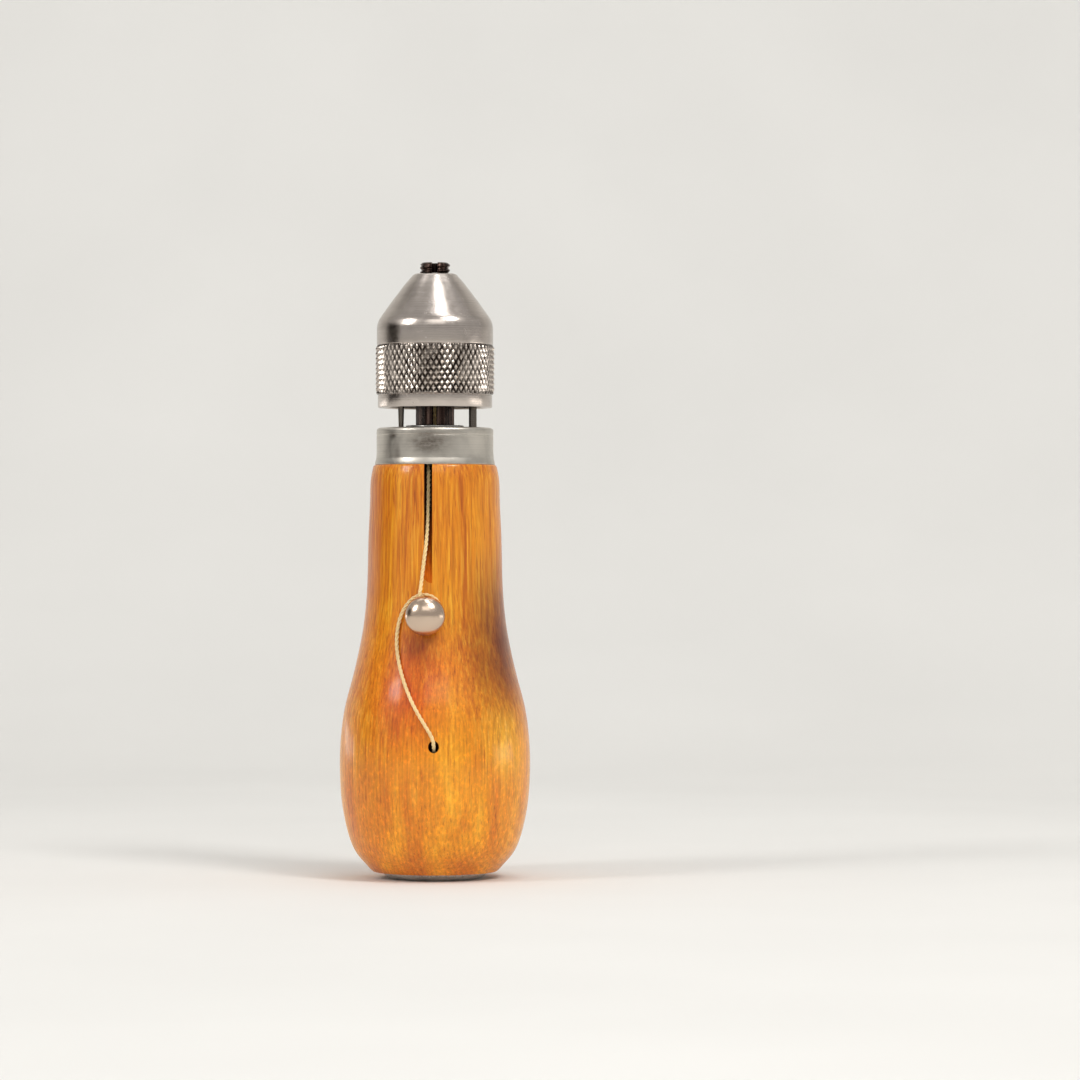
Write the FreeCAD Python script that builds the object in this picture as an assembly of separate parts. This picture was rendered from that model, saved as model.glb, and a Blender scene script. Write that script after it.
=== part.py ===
import FreeCAD, Part
import math
import os

# Lock-stitch sewing awl: turned hardwood handle with a thread reel in its butt, drawn metal ferrule, needle post with a
# split threaded tip, and a knurled conical chuck cap that closes the tip on the needle. +Z runs along the awl towards
# the needle end. The origin is the centre of the thumb wheel's outer face, on which the awl stands. -Y is the side with
# the thread groove, the tension post and the thread hole.
# All z values below are measured from the wood's flat foot; save() adds foot_lift.

V = FreeCAD.Vector
foot_lift = 1.4          # thumb wheel stands this far below the wood

# wood
foot_r = 12.9
tenon_r = 11.3
shoulder_z = 83.84       # wood shoulder, where the ferrule sits
tenon_top = 90.58
fit = 0.02               # radial easing where metal is driven into wood
wood_profile = [(14.4, 1.7), (15.95, 3.5), (17.2, 5.8), (18.3, 9.4), (19.2, 14.2), (19.58, 19.4), (19.6, 24.6),
                (19.25, 29.5), (18.45, 34.5), (17.15, 39.4), (15.95, 44.4), (14.95, 49.4), (14.32, 54.3), (13.98, 59.3),
                (13.8, 66.7), (13.62, 71.7), (13.4, 76.6), (13.08, 82.0)]
shoulder_r = 12.5
groove_w = 1.65
groove_x = -1.08
groove_z0, groove_r0 = 59.6, 13.95     # where the groove runs out at the surface
groove_z1, groove_r1 = 80.8, 10.29     # where its floor turns in towards the post
groove_z2, groove_r2 = 88.6, 1.2       # where it meets the post's slot
feed_r = 1.1
feed_mouth = V(0.17, -20.9, 27.35)
feed_inner = V(0.17, -10.4, 21.15)
pocket_r, pocket_top = 11.1, 29.5

# ferrule
ferrule_r, ferrule_lip_r, ferrule_wall = 12.05, 12.4, 0.75
ferrule_top = 91.48

# needle post and washer
post_tail_r, post_tail_z = 2.5, 66.0
hex_af, hex_z0, hex_z1 = 6.85, 91.98, 98.5
post_r, tip_r, tip_z = 3.4, 3.12, 125.55
post_slot = 1.2
post_slot_z = 87.4       # the slot starts under the ferrule, where the thread enters it
key_slot = 0.5           # keyway at the back, in which the closing ring's key runs
socket_r, socket_z0 = 0.9, 108.0

# chuck cap
cap_z0, cap_knurl_z0, cap_knurl_z1, cap_band_z1, cap_top = 95.6, 98.3, 108.6, 112.1, 123.3
cap_lip_r, cap_knurl_r, cap_band_r = 11.8, 12.25, 12.0
cap_bore_r, hub_r, ring_seat_r, cap_thread_r = 10.4, 7.0, 5.15, 3.2

# tension post
tp_x, tp_z = -1.6, 53.0
tp_head_r, tp_equator_y, tp_front, tp_back = 4.1, -16.5, 3.15, 0.95
tp_neck_r, tp_shank_r = 1.9, 1.4
tp_seat_y = -13.7        # the neck sits in a shallow counterbore in the wood

# stored needles and wrench
straight_x, curved_x, wrench_y = -7.0, 7.8, 7.4
needle_top = 103.0

# thread
thread_d = 0.8
thread_lie = 0.45        # height of the thread's centreline over the wood


def cyl(r, z0, z1, x=0.0, y=0.0):
    return Part.makeCylinder(r, z1 - z0, V(x, y, z0), V(0, 0, 1))


def ring(r0, r1, z0, z1):
    return cyl(r1, z0, z1).cut(cyl(r0, z0 - 1, z1 + 1))


def box(x0, x1, y0, y1, z0, z1):
    return Part.makeBox(x1 - x0, y1 - y0, z1 - z0, V(x0, y0, z0))


def turned(edges):
    face = Part.Face(Part.Wire(edges))
    return face.revolve(V(0, 0, 0), V(0, 0, 1), 360)


def seg(p, q):
    return Part.LineSegment(V(p[0], 0, p[1]), V(q[0], 0, q[1])).toShape()


def turned_poly(pts):
    return turned([seg(pts[i], pts[(i + 1) % len(pts)]) for i in range(len(pts))])


def save(shape, name):
    s = shape.copy()
    s.translate(V(0, 0, foot_lift))
    if s.ShapeType == "Compound" and len(s.Solids) == 1:
        s = s.Solids[0]
    if not s.isValid() or len(s.Solids) != 1:
        print("CHECK", name, "valid", s.isValid(), "solids", len(s.Solids))
    s.exportStep("parts/%s.step" % name)
    b = s.BoundBox
    print("%-18s vol %9.2f mm3  x %.2f..%.2f  y %.2f..%.2f  z %.2f..%.2f"
          % (name, s.Volume, b.XMin, b.XMax, b.YMin, b.YMax, b.ZMin, b.ZMax))
    return shape


os.makedirs("parts", exist_ok=True)

# ---------------------------------------------------------------- handle
side = Part.BSplineCurve()
side_pts = [V(foot_r, 0, 0.0)] + [V(r, 0, z) for r, z in wood_profile] + [V(shoulder_r + 0.28, 0, 83.3)]
side.interpolate(side_pts)


def wood_r(z):
    lo, hi = side.FirstParameter, side.LastParameter
    for _ in range(50):
        mid = (lo + hi) / 2
        if side.value(mid).z < z:
            lo = mid
        else:
            hi = mid
    return side.value((lo + hi) / 2).x


top_corner = Part.Arc(V(shoulder_r + 0.28, 0, 83.3), V(shoulder_r + 0.12, 0, 83.68), V(shoulder_r - 0.25, 0, shoulder_z))
handle = turned([side.toShape(), top_corner.toShape(),
                 seg((shoulder_r - 0.25, shoulder_z), (tenon_r - fit, shoulder_z)),
                 seg((tenon_r - fit, shoulder_z), (tenon_r - fit, tenon_top)),
                 seg((tenon_r - fit, tenon_top), (0, tenon_top)),
                 seg((0, tenon_top), (0, 0)), seg((0, 0), (foot_r, 0))])
# the thread groove: its floor drops slowly from the surface, then dives under the ferrule to the post's slot
kerf = Part.makePolygon([V(groove_x - groove_w / 2, -r, z) for r, z in
                         ((groove_r0, groove_z0), (groove_r1, groove_z1), (groove_r2, groove_z2), (groove_r2, tenon_top + 1),
                          (30, tenon_top + 1), (30, groove_z0), (groove_r0, groove_z0))])
handle = handle.cut(Part.Face(kerf).extrude(V(groove_w, 0, 0)))
handle = handle.cut(box(groove_x - groove_w / 2, 0.75, -4.6, 0, 87.0, tenon_top + 1))
handle = handle.cut(cyl(pocket_r, -1, pocket_top))
d = feed_mouth - feed_inner
handle = handle.cut(Part.makeCylinder(feed_r, d.Length, feed_inner, d))
handle = handle.cut(cyl(post_tail_r + fit, post_tail_z, 95))
handle = handle.cut(cyl(1.1, 44.5, 95, straight_x))
handle = handle.cut(cyl(2.9, 44.5, 95, 6.2))
handle = handle.cut(box(-2.5, 2.5, wrench_y - 0.9, wrench_y + 0.9, 50.0, 95))
handle = handle.cut(Part.makeCylinder(tp_shank_r + fit, 10.5, V(tp_x, -14.0, tp_z), V(0, 1, 0)))
handle = handle.cut(Part.makeCylinder(tp_neck_r + fit, 6.3, V(tp_x, tp_seat_y - 6.3, tp_z), V(0, 1, 0)))
handle = handle.cut(cyl(1.5, 28, 40.0))
save(handle, "handle")

# ---------------------------------------------------------------- ferrule
corner = 0.75
fp = [(tenon_r, shoulder_z), (ferrule_lip_r, shoulder_z), (ferrule_lip_r - 0.06, shoulder_z + 0.5),
      (ferrule_r + 0.06, shoulder_z + 1.4), (ferrule_r, shoulder_z + 2.6), (ferrule_r, ferrule_top - corner)]
edges = [seg(fp[i], fp[i + 1]) for i in range(len(fp) - 1)]
c45 = corner * (1 - math.sqrt(0.5))
edges.append(Part.Arc(V(ferrule_r, 0, ferrule_top - corner), V(ferrule_r - c45, 0, ferrule_top - c45),
                      V(ferrule_r - corner, 0, ferrule_top)).toShape())
edges += [seg((ferrule_r - corner, ferrule_top), (2.6, ferrule_top)), seg((2.6, ferrule_top), (2.6, tenon_top)),
          seg((2.6, tenon_top), (tenon_r, tenon_top)), seg((tenon_r, tenon_top), (tenon_r, shoulder_z))]
ferrule = turned(edges)
ferrule = ferrule.cut(cyl(1.1, 90, 92, straight_x))
slot = cyl(1.15, 90, 92, 7.45).fuse(cyl(1.15, 90, 92, 7.95)).fuse(box(7.45, 7.95, -1.15, 1.15, 90, 92))
ferrule = ferrule.cut(slot)
ferrule = ferrule.cut(box(-2.5, 2.5, wrench_y - 0.9, wrench_y + 0.9, 90, 92))
save(ferrule, "ferrule")
save(ring(2.55, 6.0, ferrule_top, hex_z0), "post_washer")

# ---------------------------------------------------------------- needle post
tail = cyl(post_tail_r, post_tail_z + 2.0, hex_z0).fuse(
    Part.makeCone(0.6, post_tail_r, 2.0, V(0, 0, post_tail_z), V(0, 0, 1)))
hex_c = hex_af / math.sqrt(3)
hex_wire = Part.makePolygon([V(hex_c * math.cos(math.radians(60 * i)), hex_c * math.sin(math.radians(60 * i)), hex_z0)
                             for i in range(7)])
hexagon = Part.Face(hex_wire).extrude(V(0, 0, hex_z1 - hex_z0))
upper = turned_poly([(0, hex_z1 - 0.5), (post_r, hex_z1 - 0.5), (post_r, 110.0), (tip_r, 112.5), (tip_r, tip_z - 0.45),
                     (tip_r - 0.45, tip_z), (0, tip_z)])
post = tail.fuse(hexagon).fuse(upper)
post = post.cut(box(-post_slot / 2, post_slot / 2, -6, -0.6, post_slot_z, 130))
post = post.cut(box(-key_slot / 2, key_slot / 2, 1.3, 6, 100.0, 130))
post = post.cut(cyl(socket_r, socket_z0, 130))
post = post.removeSplitter()
save(post, "needle_post")

# ---------------------------------------------------------------- tension post
# turned about the Y axis through (tp_x, tp_z); in the profile x is the radius and y runs into the wood
front_e = Part.ArcOfEllipse(Part.Ellipse(V(tp_head_r, 0, 0), V(0, tp_front, 0), V(0, 0, 0)), -math.pi / 2, 0)
neck_a = math.acos(tp_neck_r / tp_head_r)
back_e = Part.ArcOfEllipse(Part.Ellipse(V(tp_head_r, 0, 0), V(0, tp_back, 0), V(0, 0, 0)), 0, neck_a)
nb = tp_back * math.sin(neck_a)
seat = tp_seat_y - tp_equator_y
tail_y = seat + 8.2
pts = [(tp_neck_r, nb), (tp_neck_r, seat), (tp_shank_r, seat), (tp_shank_r, tail_y), (0.3, tail_y + 1.3), (0, tail_y + 1.3), (0, -tp_front)]
edges = [front_e.toShape(), back_e.toShape()]
edges += [Part.LineSegment(V(pts[i][0], pts[i][1], 0), V(pts[i + 1][0], pts[i + 1][1], 0)).toShape() for i in range(len(pts) - 1)]
tension = Part.Face(Part.Wire(edges)).revolve(V(0, 0, 0), V(0, 1, 0), 360)
tension.translate(V(tp_x, tp_equator_y, tp_z))
save(tension, "tension_post")

# ---------------------------------------------------------------- reel screw and its washers
screw = cyl(4.0, -1.1, 0.5).fuse(cyl(2.22, 0.5, 28.8)).fuse(cyl(1.5, 28.8, 38.6)).fuse(
    Part.makeCone(1.5, 0.2, 1.2, V(0, 0, 38.6), V(0, 0, 1)))
screw = screw.cut(box(-0.5, 0.5, -5, 5, -1.2, -0.35)).removeSplitter()
save(screw, "reel_screw")
save(ring(2.3, 3.9, 0.6, 1.5), "drag_washer")
save(ring(1.55, 4.5, 28.8, pocket_top), "roof_washer")

# ---------------------------------------------------------------- reel
core = cyl(5.1, -foot_lift, 1.2).fuse(cyl(5.5, 1.2, 28.5)).removeSplitter()
core = core.cut(cyl(2.3, -5, 30)).cut(cyl(4.3, -5, 1.6))
save(core, "reel_core")
save(ring(5.5, 10.4, 27.0, 28.3), "reel_inner_flange")
wheel = turned_poly([(5.1, -foot_lift), (8.6, -foot_lift), (10.1, -0.95), (10.7, -0.4), (10.7, 1.2), (5.1, 1.2)])
teeth = 36
notches = []
for i in range(teeth):
    a = math.radians(360.0 / teeth * (i + 0.5))
    n = Part.makeCylinder(0.42, 4, V(10.78 * math.cos(a), 10.78 * math.sin(a), -2), V(0, 0, 1))
    notches.append(n)
wheel = wheel.cut(Part.makeCompound(notches))
save(wheel, "thumb_wheel")
save(ring(5.5, 9.6, 1.2, 27.0), "thread_winding")

# ---------------------------------------------------------------- closing ring (slides on the post, keyed in its keyway)
jaw = turned_poly([(3.5, 113.9), (5.0, 113.9), (5.0, 117.4), (3.19, 117.4)])
jaw = jaw.fuse(box(-0.2, 0.2, 1.4, 3.9, 113.9, 117.4)).removeSplitter()
save(jaw, "jaw_ring")

# ---------------------------------------------------------------- chuck cap
cone = Part.BSplineCurve()
cone.interpolate([V(cap_band_r, 0, cap_band_z1), V(11.72, 0, 113.35), V(11.1, 0, 114.5), V(10.2, 0, 115.75),
                  V(9.32, 0, 117.0), V(8.4, 0, 118.25), V(7.45, 0, 119.5), V(6.5, 0, 120.75), V(5.5, 0, 121.95),
                  V(4.75, 0, 122.8)])
nose = Part.Arc(V(4.75, 0, 122.8), V(4.5, 0, 123.1), V(4.1, 0, cap_top))
edges = [seg((cap_bore_r + 0.25, cap_z0), (cap_lip_r - 0.25, cap_z0)), seg((cap_lip_r - 0.25, cap_z0), (cap_lip_r, cap_z0 + 0.3)),
         seg((cap_lip_r, cap_z0 + 0.3), (cap_lip_r, cap_knurl_z0)), seg((cap_lip_r, cap_knurl_z0), (cap_knurl_r, cap_knurl_z0 + 0.25)),
         seg((cap_knurl_r, cap_knurl_z0 + 0.25), (cap_knurl_r, cap_knurl_z1 - 0.2)),
         seg((cap_knurl_r, cap_knurl_z1 - 0.2), (cap_band_r, cap_knurl_z1)), seg((cap_band_r, cap_knurl_z1), (cap_band_r, cap_band_z1)),
         cone.toShape(), nose.toShape(), seg((4.1, cap_top), (cap_thread_r + 0.25, cap_top)),
         seg((cap_thread_r + 0.25, cap_top), (cap_thread_r, cap_top - 0.25)),
         seg((cap_thread_r, cap_top - 0.25), (cap_thread_r, 117.6)), seg((cap_thread_r, 117.6), (ring_seat_r, 117.6)),
         seg((ring_seat_r, 117.6), (ring_seat_r, 113.6)), seg((ring_seat_r, 113.6), (5.6, 113.6)), seg((5.6, 113.6), (5.6, 113.0)),
         seg((5.6, 113.0), (ring_seat_r, 113.0)), seg((ring_seat_r, 113.0), (ring_seat_r, 112.6)), seg((ring_seat_r, 112.6), (hub_r, 112.6)),
         seg((hub_r, 112.6), (hub_r, 116.2)), seg((hub_r, 116.2), (cap_bore_r, 111.9)),
         seg((cap_bore_r, 111.9), (cap_bore_r, cap_z0 + 0.25)), seg((cap_bore_r, cap_z0 + 0.25), (cap_bore_r + 0.25, cap_z0))]
cap = turned(edges)
save(cap, "chuck_cap")
clip = ring(4.55, 5.6, 113.0, 113.6).cut(box(-0.9, 0.9, -7, -3, 112, 114))
save(clip, "ring_clip")

# ---------------------------------------------------------------- stored needles, points down
prof = [(0.0, 45.0), (0.04, 45.0), (0.36, 48.2), (0.5, 60.0), (0.5, 91.0), (0.66, 96.2), (0.85, 97.6), (0.85, needle_top - 0.3),
        (0.6, needle_top), (0.0, needle_top)]
needle = turned_poly(prof)
needle = needle.cut(Part.makeCylinder(0.18, 4, V(0, -2, 49.6), V(0, 1, 0)))
needle.translate(V(straight_x, 0, 0))
save(needle, "straight_needle")

bend_z, blade_r = 68.0, 0.5
bend_R = 64.75
end_a = math.asin((bend_z - 47.6) / bend_R)
cx = curved_x - bend_R
mid = V(cx + bend_R * math.cos(end_a / 2), 0, bend_z - bend_R * math.sin(end_a / 2))
end = V(cx + bend_R * math.cos(end_a), 0, bend_z - bend_R * math.sin(end_a))
path = Part.Wire([Part.LineSegment(V(curved_x, 0, 88.0), V(curved_x, 0, bend_z)).toShape(),
                  Part.Arc(V(curved_x, 0, bend_z), mid, end).toShape()])
prof_w = Part.Wire([Part.Circle(V(curved_x, 0, 88.0), V(0, 0, 1), blade_r).toShape()])
blade = path.makePipeShell([prof_w], True, True)
shank2 = turned_poly([(0, 88.0), (blade_r, 88.0), (0.82, 90.2), (0.82, needle_top - 0.3), (0.55, needle_top), (0, needle_top)])
shank2.translate(V(curved_x, 0, 0))
tangent = V(-math.sin(end_a), 0, -math.cos(end_a))
point = Part.makeCone(blade_r, 0.04, 2.8, end, tangent)
curved = blade.fuse(shank2).fuse(point).removeSplitter()
save(curved, "curved_needle")

# ---------------------------------------------------------------- flat wrench for the needle post's hex
wy0, wy1 = wrench_y - 0.6, wrench_y + 0.6
stem = box(-2.2, 2.2, wy0, wy1, 53.0, 99.0)
head_w = Part.makeCylinder(5.6, 1.2, V(0, wy0, 100.4), V(0, 1, 0)).common(box(-5.6, 5.6, 0, 20, 93, 105.2))
wrench = stem.fuse(head_w)
jaw_cut = box(-3.475, 3.475, 0, 20, 100.1, 110)
wrench = wrench.cut(jaw_cut).removeSplitter()
wrench = wrench.cut(Part.makeCylinder(1.0, 20, V(0, 0, 56.0), V(0, 1, 0)))
save(wrench, "wrench")


# ---------------------------------------------------------------- thread from the reel to the split tip
def on_wood(x, z, h=thread_lie):
    r = wood_r(z) + h
    return V(x, -math.sqrt(r * r - x * x), z)


def round_post(deg, rho, h=thread_lie):
    a = math.radians(deg)
    return on_wood(tp_x + rho * math.sin(a), tp_z + rho * math.cos(a), h)


def in_groove(x, z, h=0.65):
    f = groove_r0 + (groove_r1 - groove_r0) * (z - groove_z0) / (groove_z1 - groove_z0)
    return V(x, -(f + h), z)


route = [V(4.0, -9.55, 19.1), V(2.5, -10.05, 19.9), V(0.9, -10.52, 20.95), V(0.3, -11.95, 22.0), V(0.17, -14.4, 23.5),
         V(0.17, -16.9, 24.95), V(0.18, -18.7, 25.95), V(0.2, -19.6, 26.65), V(0.12, -19.98, 27.5), on_wood(-0.25, 28.7),
         on_wood(-1.5, 30.7, 0.48), on_wood(-3.75, 34.4, 0.52), on_wood(-5.45, 38.2, 0.5), on_wood(-6.65, 41.8), on_wood(-7.35, 45.3),
         on_wood(-7.5, 48.5), on_wood(-7.1, 51.5), on_wood(-6.3, 53.8), on_wood(-5.15, 55.6), on_wood(-3.75, 56.85),
         on_wood(-1.8, 57.35), on_wood(0.15, 56.75), round_post(52, 3.75), round_post(82, 3.3), round_post(116, 2.95),
         round_post(156, 2.85), round_post(198, 2.82), round_post(240, 2.85), on_wood(-4.35, 53.6, 0.5), on_wood(-3.62, 55.2, 0.95),
         on_wood(-3.02, 56.4, 1.38), on_wood(-2.62, 58.0, 1.38), on_wood(-2.42, 59.8, 0.55), on_wood(-2.16, 62.0, 0.46),
         on_wood(-1.84, 64.6, 0.46), in_groove(-1.44, 67.6, 1.17), in_groove(-1.22, 71.2, 0.72), in_groove(-1.1, 75.4),
         in_groove(-1.06, 79.2, 0.62), V(-1.05, -10.82, 81.2), V(-1.05, -10.02, 82.6), V(-1.05, -8.85, 83.8), V(-1.04, -7.3, 85.1),
         V(-0.95, -5.75, 86.3), V(-0.72, -4.45, 87.4), V(-0.44, -3.4, 88.4), V(-0.18, -2.68, 89.3), V(-0.06, -2.08, 90.4),
         V(0.0, -1.6, 91.9), V(0.0, -1.34, 94.2), V(0.0, -1.26, 97.4), V(0.0, -1.27, 101.6), V(0.0, -1.42, 105.6), V(0.02, -1.52, 109.6),
         V(0.0, -1.5, 113.8), V(-0.02, -1.53, 118.0), V(0.0, -1.5, 121.9)]


def cord_wire(points):
    edges, radii = [], []
    start = points[0]
    for i in range(1, len(points) - 1):
        a, p, b = points[i - 1], points[i], points[i + 1]
        u, w = (a - p), (b - p)
        lu, lw = u.Length, w.Length
        u.normalize()
        w.normalize()
        turn = math.pi - u.getAngle(w)
        r = 0.45 * min(lu, lw) / math.tan(turn / 2)
        t = 0.45 * min(lu, lw)
        p0, p1 = p + u * t, p + w * t
        bis = u + w
        bis.normalize()
        centre = p + bis * (r / math.cos(turn / 2))
        midp = centre - bis * r
        edges.append(Part.LineSegment(start, p0).toShape())
        edges.append(Part.Arc(p0, midp, p1).toShape())
        start = p1
        radii.append((r, math.degrees(turn), lu))
    edges.append(Part.LineSegment(start, points[-1]).toShape())
    return Part.Wire(edges), radii


wire, radii = cord_wire(route)
first = (route[1] - route[0])
first.normalize()
section = Part.Wire([Part.Circle(route[0], first, thread_d / 2).toShape()])
cord = wire.makePipeShell([section], True, True)
save(cord, "thread_lead")
print("thread: length %.2f mm, volume %.3f, section x length %.3f" % (wire.Length, cord.Volume, math.pi * thread_d ** 2 / 4 * wire.Length))
print("bend radii (mm):", " ".join("%.1f" % r for r, t, l in radii))
print("turns (deg):", " ".join("%.0f" % t for r, t, l in radii))
print("runs (mm):", " ".join("%.2f" % l for r, t, l in radii))
print("route (m):", [(round(p.x / 1000, 6), round(p.y / 1000, 6), round((p.z + foot_lift) / 1000, 6)) for p in route])
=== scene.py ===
import bpy, bmesh, math
import numpy as np
from mathutils import Vector, Matrix


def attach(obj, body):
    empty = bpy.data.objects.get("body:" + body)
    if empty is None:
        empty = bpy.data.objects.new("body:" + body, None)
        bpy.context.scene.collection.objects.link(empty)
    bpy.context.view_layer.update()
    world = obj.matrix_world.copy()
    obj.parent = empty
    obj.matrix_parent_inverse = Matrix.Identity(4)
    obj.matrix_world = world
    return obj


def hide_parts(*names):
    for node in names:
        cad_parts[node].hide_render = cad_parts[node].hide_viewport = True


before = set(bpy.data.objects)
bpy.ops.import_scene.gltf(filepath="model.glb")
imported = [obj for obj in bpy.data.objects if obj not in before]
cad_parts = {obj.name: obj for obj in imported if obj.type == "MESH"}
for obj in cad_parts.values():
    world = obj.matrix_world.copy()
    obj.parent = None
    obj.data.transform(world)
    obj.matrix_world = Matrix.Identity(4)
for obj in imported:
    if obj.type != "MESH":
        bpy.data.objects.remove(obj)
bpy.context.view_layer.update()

MM = 0.001
LIFT = 1.4
scene = bpy.context.scene
REST = {k: o for k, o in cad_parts.items()}


def lin(c):
    out = []
    for v in c[:3]:
        v = v / 255.0
        out.append(v / 12.92 if v <= 0.04045 else ((v + 0.055) / 1.055) ** 2.4)
    return tuple(out) + (1.0,)


# ------------------------------------------------------------------ camera (first, then the thread)
cam_d = bpy.data.cameras.new("cam")
cam = bpy.data.objects.new("cam", cam_d)
scene.collection.objects.link(cam)
cam_d.sensor_width = 36.0
cam_d.lens = 145.3
cam_d.clip_start, cam_d.clip_end = 0.05, 20.0
cam.location = (0.02168, -0.9, 0.06975)
cam.rotation_euler = (math.pi / 2, 0, 0)
scene.camera = cam

# ------------------------------------------------------------------ node helpers


def material(name):
    m = bpy.data.materials.new(name)
    m.use_nodes = True
    nt = m.node_tree
    b = nt.nodes.get("Principled BSDF")
    return m, nt, b


def node(nt, kind, inputs=None, **props):
    n = nt.nodes.new(kind)
    for k, v in props.items():
        setattr(n, k, v)
    for k, v in (inputs or {}).items():
        n.inputs[k].default_value = v
    return n


def link(nt, a, ao, b, bi):
    nt.links.new(a.outputs[ao], b.inputs[bi])


def mapped(nt, scale, loc=(0, 0, 0), rot=(0, 0, 0)):
    tc = node(nt, "ShaderNodeTexCoord")
    mp = node(nt, "ShaderNodeMapping")
    mp.inputs["Scale"].default_value = scale
    mp.inputs["Location"].default_value = loc
    mp.inputs["Rotation"].default_value = rot
    link(nt, tc, "Object", mp, "Vector")
    return mp


def noise(nt, vec, scale=1.0, detail=4.0, rough=0.55, distortion=0.0):
    n = node(nt, "ShaderNodeTexNoise", {"Scale": scale, "Detail": detail, "Roughness": rough, "Distortion": distortion})
    link(nt, vec, 0, n, "Vector")
    return n


def ramp(nt, src, out, stops, interp="LINEAR"):
    r = node(nt, "ShaderNodeValToRGB")
    r.color_ramp.interpolation = interp
    e = r.color_ramp.elements
    while len(e) > 1:
        e.remove(e[-1])
    e[0].position, e[0].color = stops[0][0], stops[0][1]
    for p, c in stops[1:]:
        x = e.new(p)
        x.color = c
    nt.links.new(src.outputs[out], r.inputs["Fac"])
    return r


def grey(v):
    return (v, v, v, 1.0)


def mix(nt, blend, fac, a, b):
    m = node(nt, "ShaderNodeMix", data_type="RGBA", blend_type=blend)
    m.clamp_factor = True
    for val, sock in ((fac, m.inputs[0]), (a, m.inputs[6]), (b, m.inputs[7])):
        if isinstance(val, tuple) and len(val) == 2 and hasattr(val[0], "outputs"):
            nt.links.new(val[0].outputs[val[1]], sock)
        else:
            sock.default_value = val
    return m


def math_n(nt, op, a, b=None, clamp=False):
    m = node(nt, "ShaderNodeMath", operation=op, use_clamp=clamp)
    for i, val in enumerate((a, b)):
        if val is None:
            continue
        if isinstance(val, tuple):
            nt.links.new(val[0].outputs[val[1]], m.inputs[i])
        else:
            m.inputs[i].default_value = val
    return m


def bump(nt, bsdf, src, out, strength, dist, prev=None):
    bp = node(nt, "ShaderNodeBump", {"Strength": strength, "Distance": dist})
    nt.links.new(src.outputs[out], bp.inputs["Height"])
    if prev is not None:
        nt.links.new(prev.outputs[0], bp.inputs["Normal"])
    nt.links.new(bp.outputs[0], bsdf.inputs["Normal"])
    return bp


# ------------------------------------------------------------------ materials
def near(nt, centre, radius, soft=1.0, scale=(1, 1, 1)):
    """1 at centre, 0 at radius, in the object's own space."""
    tc = node(nt, "ShaderNodeTexCoord")
    sub = node(nt, "ShaderNodeVectorMath", operation="SUBTRACT")
    sub.inputs[1].default_value = centre
    link(nt, tc, "Object", sub, 0)
    mul = node(nt, "ShaderNodeVectorMath", operation="MULTIPLY")
    mul.inputs[1].default_value = scale
    link(nt, sub, 0, mul, 0)
    ln = node(nt, "ShaderNodeVectorMath", operation="LENGTH")
    link(nt, mul, 0, ln, 0)
    mr = node(nt, "ShaderNodeMapRange", {"From Min": radius * (1 - soft), "From Max": radius, "To Min": 1.0, "To Max": 0.0},
              interpolation_type="SMOOTHSTEP")
    link(nt, ln, "Value", mr, "Value")
    return mr


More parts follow.
